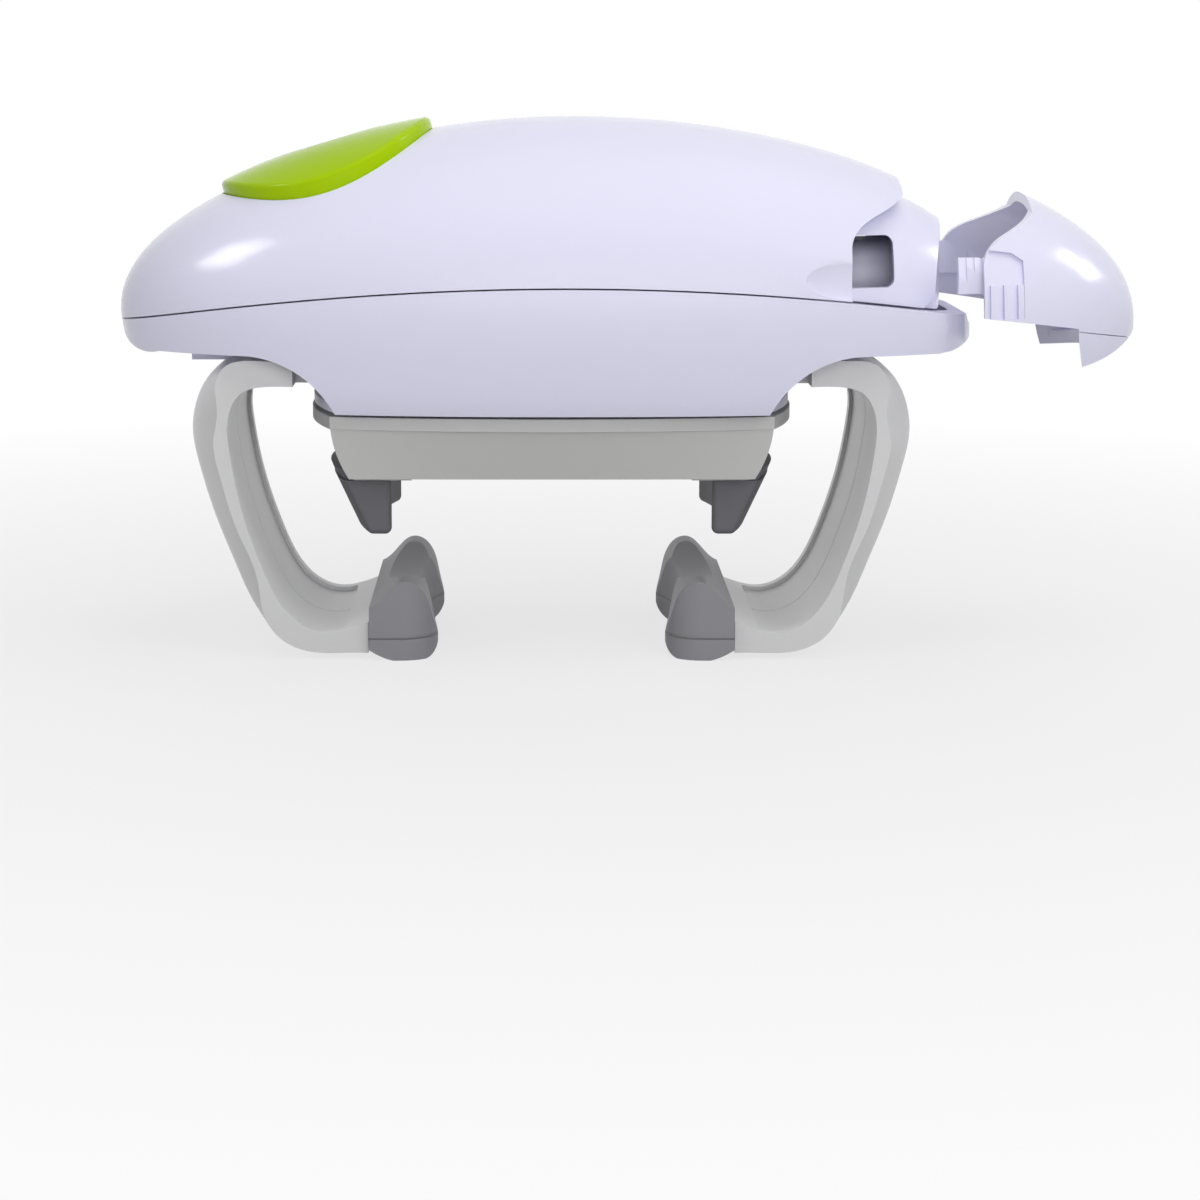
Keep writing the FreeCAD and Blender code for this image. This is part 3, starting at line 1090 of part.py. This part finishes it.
def second_gear():
    """Compound gear driven by the motor."""
    bore = AXLE_RADIUS + RUNNING_GAP
    half_pitch = 180.0 / LAY_PINION_TEETH
    pinion = gear(LAY_PINION_TEETH, SECOND_MODULE, TRAIN_PRESSURE_ANGLE, half_pitch, 0.14, SECOND_X,
                  SECOND_Z, SECOND_THICKNESS, bore)
    neck = ring(SECOND_MODULE * LAY_PINION_TEETH / 2 - 1.0, bore, SECOND_Z + SECOND_THICKNESS - 0.1,
                FIRST_Z + 0.1, SECOND_X)
    wheel = gear(FIRST_TEETH, FIRST_MODULE, TRAIN_PRESSURE_ANGLE, 0.0, 0.12, SECOND_X, FIRST_Z,
                 FIRST_THICKNESS, bore)
    return fuse([pinion, neck, wheel])


def motor_pinion():
    half_pitch = 180.0 / LAY_PINION_TEETH
    return gear(LAY_PINION_TEETH, FIRST_MODULE, TRAIN_PRESSURE_ANGLE, half_pitch, 0.12, MOTOR_X,
                FIRST_Z, FIRST_THICKNESS, MOTOR_SHAFT_RADIUS)


def motor_shaft():
    return post(MOTOR_SHAFT_RADIUS, FIRST_Z - 0.4, UPPER_PLATE_TOP_Z + MOTOR_LENGTH + 1.2, MOTOR_X)


def motor_can():
    """Steel motor can with flattened sides and a bearing boss."""
    z0 = UPPER_PLATE_TOP_Z
    can = post(MOTOR_RADIUS, z0, z0 + MOTOR_LENGTH - 3.0, MOTOR_X)
    can = can.common(box(-FAR, FAR, -MOTOR_RADIUS + 1.8, MOTOR_RADIUS - 1.8, z0, FAR))
    return can.cut(post(MOTOR_SHAFT_RADIUS + RUNNING_GAP, z0 - 1, FAR, MOTOR_X))


def motor_end_cap():
    z0 = UPPER_PLATE_TOP_Z + MOTOR_LENGTH - 3.0
    cap = fuse([post(MOTOR_RADIUS - 0.6, z0, z0 + 1.8, MOTOR_X), post(4.0, z0, z0 + 3.0, MOTOR_X)])
    cap = cap.common(box(-FAR, FAR, -MOTOR_RADIUS + 2.2, MOTOR_RADIUS - 2.2, z0, FAR))
    return cap.cut(post(MOTOR_SHAFT_RADIUS + RUNNING_GAP, z0 - 1, FAR, MOTOR_X))


def motor_terminals():
    z0 = UPPER_PLATE_TOP_Z + MOTOR_LENGTH - 1.2
    return Part.makeCompound([box(MOTOR_X + s * 7.5 - 1.2, MOTOR_X + s * 7.5 + 1.2, -0.3, 0.3,
                                  z0, z0 + 2.6) for s in (-1, 1)])


def train_plate(z, holes):
    """Gearbox plate on the pillars with its axle holes."""
    xs = [x for x, _ in PILLARS]
    ys = [y for _, y in PILLARS]
    edge = PILLAR_RADIUS + 0.8
    plate = box(min(xs) - edge, max(xs) + edge, min(ys) - edge, max(ys) + edge, z, z + PLATE_THICKNESS)
    corners = [e for e in plate.Edges if e.BoundBox.ZLength > PLATE_THICKNESS - 0.01]
    plate = plate.makeFillet(edge - 0.2, corners)
    for x, radius in holes:
        plate = plate.cut(post(radius, z - 1, z + PLATE_THICKNESS + 1, x))
    for x, y in PILLARS:
        plate = plate.cut(post(SCREW_RADIUS, z - 1, z + PLATE_THICKNESS + 1, x, y))
    return plate


def middle_plate():
    neck = DRIVE_MODULE * LAY_PINION_TEETH / 2 - 1.6
    holes = [(0.0, SHAFT_RADIUS / 2 + RUNNING_GAP), (LAY_X, neck + 0.6)]
    plate = train_plate(MIDDLE_PLATE_Z, holes)
    return plate.cut(post(AXLE_RADIUS, MIDDLE_PLATE_Z - 1, FAR, SECOND_X))


def upper_plate():
    holes = [(LAY_X, AXLE_RADIUS), (SECOND_X, AXLE_RADIUS), (MOTOR_X, MOTOR_SHAFT_RADIUS + 0.8)]
    return train_plate(UPPER_PLATE_Z, holes)


def pillars():
    """Four spacers under the middle plate and four above it."""
    spans = ((DECK_TOP_Z, MIDDLE_PLATE_Z), (MIDDLE_PLATE_Z + PLATE_THICKNESS, UPPER_PLATE_Z))
    return Part.makeCompound([ring(PILLAR_RADIUS, SCREW_RADIUS, z0, z1, x, y)
                              for x, y in PILLARS for z0, z1 in spans])


def train_screws():
    screws = [screw(x, y, UPPER_PLATE_TOP_Z + SCREW_HEAD_THICKNESS, DECK_TOP_Z + 0.1)
              for x, y in PILLARS]
    return Part.makeCompound(screws)


def axles():
    """Steel axles of lay gear and second gear."""
    lay = post(AXLE_RADIUS, DECK_TOP_Z, UPPER_PLATE_TOP_Z - 0.1, LAY_X)
    second = post(AXLE_RADIUS, MIDDLE_PLATE_Z, UPPER_PLATE_TOP_Z - 0.1, SECOND_X)
    return Part.makeCompound([lay, second])


# ------------------------------------------------------------------- the model
def main():
    os.makedirs("parts", exist_ok=True)
    pieces = {
        "upper_shell": upper_shell(),
        "lower_shell": lower_shell(),
        "base_plate": base_plate(),
        "base_screws": base_screws(),
        "shell_screws": shell_screws(),
        "battery_tray": battery_tray(),
        "battery_contacts": battery_contacts(),
        "battery_cover": battery_cover(),
        "cover_lip": cover_lip(),
        "cover_contact": cover_contact(),
        "start_button": start_button(),
        "button_stem": button_stem(),
        "button_spring": button_spring(),
        "start_switch": start_switch(),
        "switch_plunger": switch_plunger(),
        "switch_terminals": switch_terminals(),
        "turntable_frame": turntable_frame(),
        "turntable_retainer": turntable_retainer(),
        "pinion_cover_plate": pinion_cover_plate(),
        "cover_disc": cover_disc(),
        "centre_screw": centre_screw(),
        "drive_shaft": drive_shaft(),
        "drive_gear": drive_gear(),
        "jaw_left_pad": jaw_pad(),
        "jaw_left_carrier": jaw_carrier(),
        "jaw_left_rack": jaw_rack(False),
        "jaw_right_pad": turned(jaw_pad()),
        "jaw_right_carrier": turned(jaw_carrier()),
        "jaw_right_rack": turned(jaw_rack(True)),
        "jaw_pinion": jaw_pinion(),
        "arm_left_frame": arm_frame(),
        "arm_left_rack": arm_rack(),
        "arm_left_pad": arm_pad(),
        "arm_right_frame": turned(arm_frame()),
        "arm_right_rack": turned(arm_rack()),
        "arm_right_pad": turned(arm_pad()),
        "arm_pinion": arm_pinion(),
        "lay_gear": lay_gear(),
        "second_gear": second_gear(),
        "motor_pinion": motor_pinion(),
        "motor_shaft": motor_shaft(),
        "motor_can": motor_can(),
        "motor_end_cap": motor_end_cap(),
        "motor_terminals": motor_terminals(),
        "middle_plate": middle_plate(),
        "upper_plate": upper_plate(),
        "pillars": pillars(),
        "train_screws": train_screws(),
        "axles": axles(),
    }
    for name, shape in pieces.items():
        save(name, shape)
        print(f"{name}: {len(shape.Solids)} solid(s), {shape.Volume:.0f} mm3, valid {shape.isValid()}")


main()
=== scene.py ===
"""Electric jar opener standing on its two jar arms, battery cover pulled off its tail."""
import bmesh
import bpy
import json
import math
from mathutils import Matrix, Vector

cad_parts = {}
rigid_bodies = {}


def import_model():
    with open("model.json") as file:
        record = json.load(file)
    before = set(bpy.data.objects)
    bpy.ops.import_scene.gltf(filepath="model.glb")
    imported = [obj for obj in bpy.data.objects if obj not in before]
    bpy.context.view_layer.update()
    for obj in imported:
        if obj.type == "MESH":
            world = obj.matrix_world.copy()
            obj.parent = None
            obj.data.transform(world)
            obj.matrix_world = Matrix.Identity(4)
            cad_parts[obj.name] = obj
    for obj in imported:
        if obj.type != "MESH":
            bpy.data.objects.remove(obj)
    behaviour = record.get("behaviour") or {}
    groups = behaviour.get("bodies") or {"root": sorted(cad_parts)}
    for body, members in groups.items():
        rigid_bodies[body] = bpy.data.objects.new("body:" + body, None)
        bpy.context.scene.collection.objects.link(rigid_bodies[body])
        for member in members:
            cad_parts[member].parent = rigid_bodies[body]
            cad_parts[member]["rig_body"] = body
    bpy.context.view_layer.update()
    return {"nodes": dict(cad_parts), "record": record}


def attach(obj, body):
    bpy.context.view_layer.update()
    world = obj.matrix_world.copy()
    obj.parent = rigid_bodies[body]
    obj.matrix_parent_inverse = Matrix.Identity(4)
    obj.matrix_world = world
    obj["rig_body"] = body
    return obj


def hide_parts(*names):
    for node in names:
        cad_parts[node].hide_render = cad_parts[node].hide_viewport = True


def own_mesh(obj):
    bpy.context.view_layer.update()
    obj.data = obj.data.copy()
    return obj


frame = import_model()


# ---------------------------------------------------------------- housing shells
# Two injection-moulded halves of white ABS, tool-polished to a high gloss with a
# cool, faintly violet tint. They are screwed together along an arched line.
def linear(hex_colour):
    """Linear RGBA of an sRGB colour written as RRGGBB."""
    channels = [int(hex_colour[k:k + 2], 16) / 255 for k in (0, 2, 4)]
    bent = [c / 12.92 if c <= 0.04045 else ((c + 0.055) / 1.055) ** 2.4 for c in channels]
    return (*bent, 1.0)


def add_node(tree, kind, settings=None, links=None):
    """One node with its settings, its inputs' values and its incoming links."""
    node = tree.nodes.new(kind)
    for name, value in (settings or {}).items():
        if isinstance(name, int) or name in node.inputs:
            node.inputs[name].default_value = value
        else:
            setattr(node, name, value)
    for name, source in (links or {}).items():
        tree.links.new(source, node.inputs[name])
    return node


GRAIN_HEIGHT = 0.0001           # depth of a full-strength mould texture, in metres
SHEEN_SPREAD = 0.03             # how far the roughness wanders with the grain
FLASH_HALF_WIDTH = 0.0004       # flash line left where the mould's halves meet
FLASH_HEIGHT = 0.0004


def plastic(name, colour, roughness, grain_mm, grain_depth, flash_z=None, **extra):
    """Solid-coloured moulding with the texture of its mould and, if any, its flash line."""
    material = bpy.data.materials.new(name)
    material.use_nodes = True
    tree = material.node_tree
    shader = tree.nodes["Principled BSDF"]
    shader.inputs["Base Color"].default_value = linear(colour)
    for socket, value in extra.items():
        shader.inputs[socket.replace("_", " ")].default_value = value
    place = add_node(tree, "ShaderNodeTexCoord")
    grit = add_node(tree, "ShaderNodeTexNoise", {"Scale": 1000 / grain_mm, "Detail": 2.0},
                    {"Vector": place.outputs["Object"]})
    sheen = add_node(tree, "ShaderNodeMapRange",
                     {"From Min": 0.3, "From Max": 0.7,
                      "To Min": roughness - SHEEN_SPREAD, "To Max": roughness + SHEEN_SPREAD},
                     {"Value": grit.outputs["Fac"]})
    tree.links.new(sheen.outputs["Result"], shader.inputs["Roughness"])
    relief = add_node(tree, "ShaderNodeBump", {"Strength": grain_depth, "Distance": GRAIN_HEIGHT},
                      {"Height": grit.outputs["Fac"]})
    if flash_z is not None:
        height = add_node(tree, "ShaderNodeSeparateXYZ", None, {0: place.outputs["Object"]})
        offset = add_node(tree, "ShaderNodeMath", {"operation": "SUBTRACT", 1: flash_z},
                          {0: height.outputs["Z"]})
        away = add_node(tree, "ShaderNodeMath", {"operation": "ABSOLUTE"}, {0: offset.outputs[0]})
        ridge = add_node(tree, "ShaderNodeMapRange",
                         {"From Min": 0.0, "From Max": FLASH_HALF_WIDTH, "To Min": 1.0, "To Max": 0.0},
                         {"Value": away.outputs[0]})
        relief = add_node(tree, "ShaderNodeBump", {"Strength": 1.0, "Distance": FLASH_HEIGHT},
                          {"Height": ridge.outputs["Result"], "Normal": relief.outputs["Normal"]})
    tree.links.new(relief.outputs["Normal"], shader.inputs["Normal"])
    material.diffuse_color = linear(colour)
    return material


WELD_DISTANCE = 2e-6
SHARP_ANGLE = math.radians(35.0)


def skin(node, material, body=None):
    """Smooth-shaded copy of a part that stands for its CAD node."""
    source = frame["nodes"][node]
    mesh = source.data.copy()
    mesh.name = node + "_skin"
    shape = bmesh.new()
    shape.from_mesh(mesh)
    bmesh.ops.remove_doubles(shape, verts=shape.verts, dist=WELD_DISTANCE)
    for face in shape.faces:
        face.smooth = True
    for edge in shape.edges:
        edge.smooth = len(edge.link_faces) == 2 and edge.calc_face_angle(0.0) < SHARP_ANGLE
    shape.to_mesh(mesh)
    shape.free()
    mesh.materials.clear()
    mesh.materials.append(material)
    piece = bpy.data.objects.new(node + "_skin", mesh)
    bpy.context.scene.collection.objects.link(piece)
    weigh = piece.modifiers.new("even_normals", "WEIGHTED_NORMAL")
    weigh.keep_sharp = True
    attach(piece, body or source["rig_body"])
    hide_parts(node)
    return piece


# Polished ABS: broad soft glints that waver a little where the moulding sank. Its 6 mm
# ripple is about the size of real sink marks.
gloss_abs = plastic("gloss_white_abs", "E4E3F8", roughness=0.20, grain_mm=6.0, grain_depth=0.03)
# Spark-eroded ABS of the inner parts: an even, dull sheen with no glints.
satin_abs = plastic("satin_white_abs", "E2E2F4", roughness=0.36, grain_mm=0.8, grain_depth=0.10)

for shell in ("upper_shell", "lower_shell"):
    skin(shell, gloss_abs)
for inner in ("base_plate", "battery_tray"):
    skin(inner, satin_abs)


# ------------------------------------------------------------------ start button
# Lime-green ABS cap, polished, with a shallow dish for the thumb. The dye is strong,
# so the gloss is kept low and the green stays deep right up to the rim.
lime_abs = plastic("lime_green_abs", "A8CC00", roughness=0.16, grain_mm=5.0, grain_depth=0.03,
                   Specular_IOR_Level=0.1)
skin("start_button", lime_abs)


# ----------------------------------------------------------------- battery cover
# Thin moulding of the same glossy ABS with two flexing latches and finger ribs, and
# a separate lip that wraps round the tip of the tail.
for cover_part in ("battery_cover", "cover_lip"):
    skin(cover_part, gloss_abs)


# --------------------------------------------------------------------- turntable
# Grey nylon moulding that turns under the skirt, with paler nylon plates screwed over
# its pinion. Half-millimetre mould texture, coarser than real so that it shows.
grey_nylon = plastic("grey_nylon", "C2C2C1", roughness=0.42, grain_mm=0.5, grain_depth=0.12)
pale_nylon = plastic("pale_grey_nylon", "D6D4D6", roughness=0.38, grain_mm=0.5, grain_depth=0.10)
PALE_PLATES = ("pinion_cover_plate", "cover_disc")
skin("turntable_frame", grey_nylon)
for plate in PALE_PLATES:
    skin(plate, pale_nylon)


# ---------------------------------------------------------------------- lid jaws
# Grey nylon carriers and racks that slide in the turntable, with moulded rubber pads.
# The rubber is matt and grainy, so it takes light without a glint.
# The pads' rubber is the same mid grey as the arms' pads; its colour here is darkened as painted shade
# for the shadow they sit in under the turntable.
jaw_pad_rubber_shade = plastic("jaw_pad_rubber_painted_shade", "646368", roughness=0.6, grain_mm=0.35, grain_depth=0.35)
for side in ("left", "right"):
    skin(f"jaw_{side}_carrier", grey_nylon)
    skin(f"jaw_{side}_rack", grey_nylon)
    skin(f"jaw_{side}_pad", jaw_pad_rubber_shade)


# ---------------------------------------------------------------------- jar arms
# Broad hooks of light grey glass-filled nylon, smooth with a soft shine, and rubber
# pads pushed on their feet with the mould's flash line round them.
PAD_FLASH_Z = 0.0055
arm_nylon = plastic("light_grey_nylon", "D6D6D7", roughness=0.33, grain_mm=0.6, grain_depth=0.06)
jar_rubber = plastic("dark_jar_rubber", "8A898E", roughness=0.5, grain_mm=0.4, grain_depth=0.20,
                     flash_z=PAD_FLASH_Z)
for side in ("left", "right"):
    skin(f"arm_{side}_frame", arm_nylon)
    skin(f"arm_{side}_rack", arm_nylon)
    skin(f"arm_{side}_pad", jar_rubber)


# ----------------------------------------------------------- works in the housing
# Ivory acetal gears on bright steel axles, a plated motor, nylon plates and plain steel
# screws. The switch is black and its plunger red polyester, both with a dull skin.
acetal = plastic("ivory_acetal", "E4E0D4", roughness=0.4, grain_mm=0.5, grain_depth=0.08)
black_pbt = plastic("black_pbt", "1A1A1C", roughness=0.4, grain_mm=0.4, grain_depth=0.15)
red_pbt = plastic("red_pbt", "A81E18", roughness=0.4, grain_mm=0.4, grain_depth=0.12)
bright_steel = plastic("bright_steel", "B8B8BA", roughness=0.3, grain_mm=0.3, grain_depth=0.10,
                       Metallic=1.0)
finishes = {
    "gear_white": acetal, "switch_black": black_pbt, "plunger_red": red_pbt,
    "steel": bright_steel, "plate_grey": pale_nylon,
}
for part in frame["record"]["subparts"]:
    finish = finishes.get(part["material_slot"])
    if finish and part["node"] not in (*PALE_PLATES, "button_spring"):
        mesh = frame["nodes"][part["node"]].data
        mesh.materials.clear()
        mesh.materials.append(finish)


# ---------------------------------------------------------- return spring of the button
# Wound from bright steel wire. It stands on the floor of the button's well.
spring = skin("button_spring", bright_steel, body="housing")
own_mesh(spring)


# ------------------------------------------------------------------------- stage
# White table and backdrop under soft lamps. Two small lamps show only as glints.
WHITE = (1, 1, 1, 1)
FLOOR_HALF = 3.0
FLOOR_FADE = {"From Min": 0.10, "From Max": 0.45, "To Min": 0.74, "To Max": 1.0}
ROOM_LIGHT = 0.16


def seen_plainly(tree):
    """One where a surface is seen by the camera, in a reflection or through glass."""
    path = add_node(tree, "ShaderNodeLightPath")
    direct = add_node(tree, "ShaderNodeMath", {"operation": "MAXIMUM"},
                      {0: path.outputs["Is Camera Ray"], 1: path.outputs["Is Glossy Ray"]})
    either = add_node(tree, "ShaderNodeMath", {"operation": "MAXIMUM"},
                      {0: direct.outputs[0], 1: path.outputs["Is Transmission Ray"]})
    return either.outputs[0]


def table_top(name, shade):
    """Matt table that keeps a soft shadow by the object and fades to plain white."""
    material = bpy.data.materials.new(name)
    material.use_nodes = True
    tree = material.node_tree
    tree.nodes.clear()
    place = add_node(tree, "ShaderNodeTexCoord")
    reach = add_node(tree, "ShaderNodeVectorMath", {"operation": "LENGTH"},
                     {0: place.outputs["Object"]})
    fade = add_node(tree, "ShaderNodeMapRange", FLOOR_FADE, {"Value": reach.outputs["Value"]})
    amount = add_node(tree, "ShaderNodeMath", {"operation": "MULTIPLY"},
                      {0: seen_plainly(tree), 1: fade.outputs["Result"]})
    matt = add_node(tree, "ShaderNodeBsdfDiffuse", {"Color": linear(shade)})
    light = add_node(tree, "ShaderNodeEmission", {"Color": WHITE, "Strength": 1.0})
    mixed = add_node(tree, "ShaderNodeMixShader", None,
                     {0: amount.outputs[0], 1: matt.outputs[0], 2: light.outputs[0]})
    add_node(tree, "ShaderNodeOutputMaterial", None, {"Surface": mixed.outputs[0]})
    return material


table = bmesh.new()
bmesh.ops.create_grid(table, x_segments=1, y_segments=1, size=FLOOR_HALF)
floor_mesh = bpy.data.meshes.new("floor")
table.to_mesh(floor_mesh)
table.free()
floor_mesh.materials.append(table_top("white_table", "BEBEBE"))
floor = bpy.data.objects.new("floor", floor_mesh)
bpy.context.scene.collection.objects.link(floor)

world = bpy.data.worlds.new("studio")
bpy.context.scene.world = world
world.use_nodes = True
sky = world.node_tree
sky.nodes.clear()
room = add_node(sky, "ShaderNodeBackground", {"Color": WHITE, "Strength": ROOM_LIGHT})
backdrop = add_node(sky, "ShaderNodeBackground", {"Color": WHITE, "Strength": 1.0})
pick = add_node(sky, "ShaderNodeMixShader", None,
                {0: seen_plainly(sky), 1: room.outputs[0], 2: backdrop.outputs[0]})
add_node(sky, "ShaderNodeOutputWorld", None, {"Surface": pick.outputs[0]})

LAMP_TARGET = Vector((0.0, 0.0, 0.07))
# name: place, size, watts
SOFTBOXES = {
    "top_softbox": ((0.25, -0.1, 1.1), (1.0, 0.8), 5.8),
    "front_softbox": ((0.20, -1.25, 0.34), (0.8, 0.6), 6.2),
    "right_softbox": ((0.95, -0.80, 0.95), (0.6, 0.6), 3.2),
    "left_softbox": ((-1.00, -0.70, 0.60), (0.6, 0.6), 2.4),
    "back_softbox": ((-0.40, 1.25, 0.45), (0.8, 0.6), 5.0),
}
GLINTS = {
    "left_glint": ((-0.80, -0.29, 0.74), (0.26, 0.30), 2.4),
    "right_glint": ((0.97, 0.14, 0.61), (0.26, 0.30), 2.4),
}
for name, (place, size, watts) in (GLINTS | SOFTBOXES).items():
    lamp = bpy.data.lights.new(name, "AREA")
    lamp.shape = "RECTANGLE"
    lamp.size, lamp.size_y = size
    lamp.energy = watts
    holder = bpy.data.objects.new(name, lamp)
    holder.location = place
    holder.rotation_euler = (LAMP_TARGET - Vector(place)).to_track_quat("-Z", "Y").to_euler()
    holder.visible_glossy = name in GLINTS
    holder.visible_diffuse = name in SOFTBOXES
    bpy.context.scene.collection.objects.link(holder)

# Camera a little above the object, shifted so that the lower half of the view is free.
CAMERA_DISTANCE = 0.700
CAMERA_RISE = math.radians(6.5)
TARGET = Vector((-0.00525, 0.0, 0.064))
TARGET_PIXEL = (530, 381)
FOCAL_PIXELS = 2800
IMAGE_PIXELS = 1200
SENSOR_WIDTH = 36.0
camera_data = bpy.data.cameras.new("camera")
camera_data.sensor_width = SENSOR_WIDTH
camera_data.lens = FOCAL_PIXELS / IMAGE_PIXELS * SENSOR_WIDTH
camera_data.clip_start = 0.01
camera_data.shift_x = (IMAGE_PIXELS / 2 - TARGET_PIXEL[0]) / IMAGE_PIXELS
camera_data.shift_y = (TARGET_PIXEL[1] - IMAGE_PIXELS / 2) / IMAGE_PIXELS
camera = bpy.data.objects.new("camera", camera_data)
camera.location = TARGET + CAMERA_DISTANCE * Vector((0, -math.cos(CAMERA_RISE), math.sin(CAMERA_RISE)))
camera.rotation_euler = (math.radians(90) - CAMERA_RISE, 0.0, 0.0)
bpy.context.scene.collection.objects.link(camera)
bpy.context.scene.camera = camera
bpy.context.scene.view_settings.view_transform = "Standard"
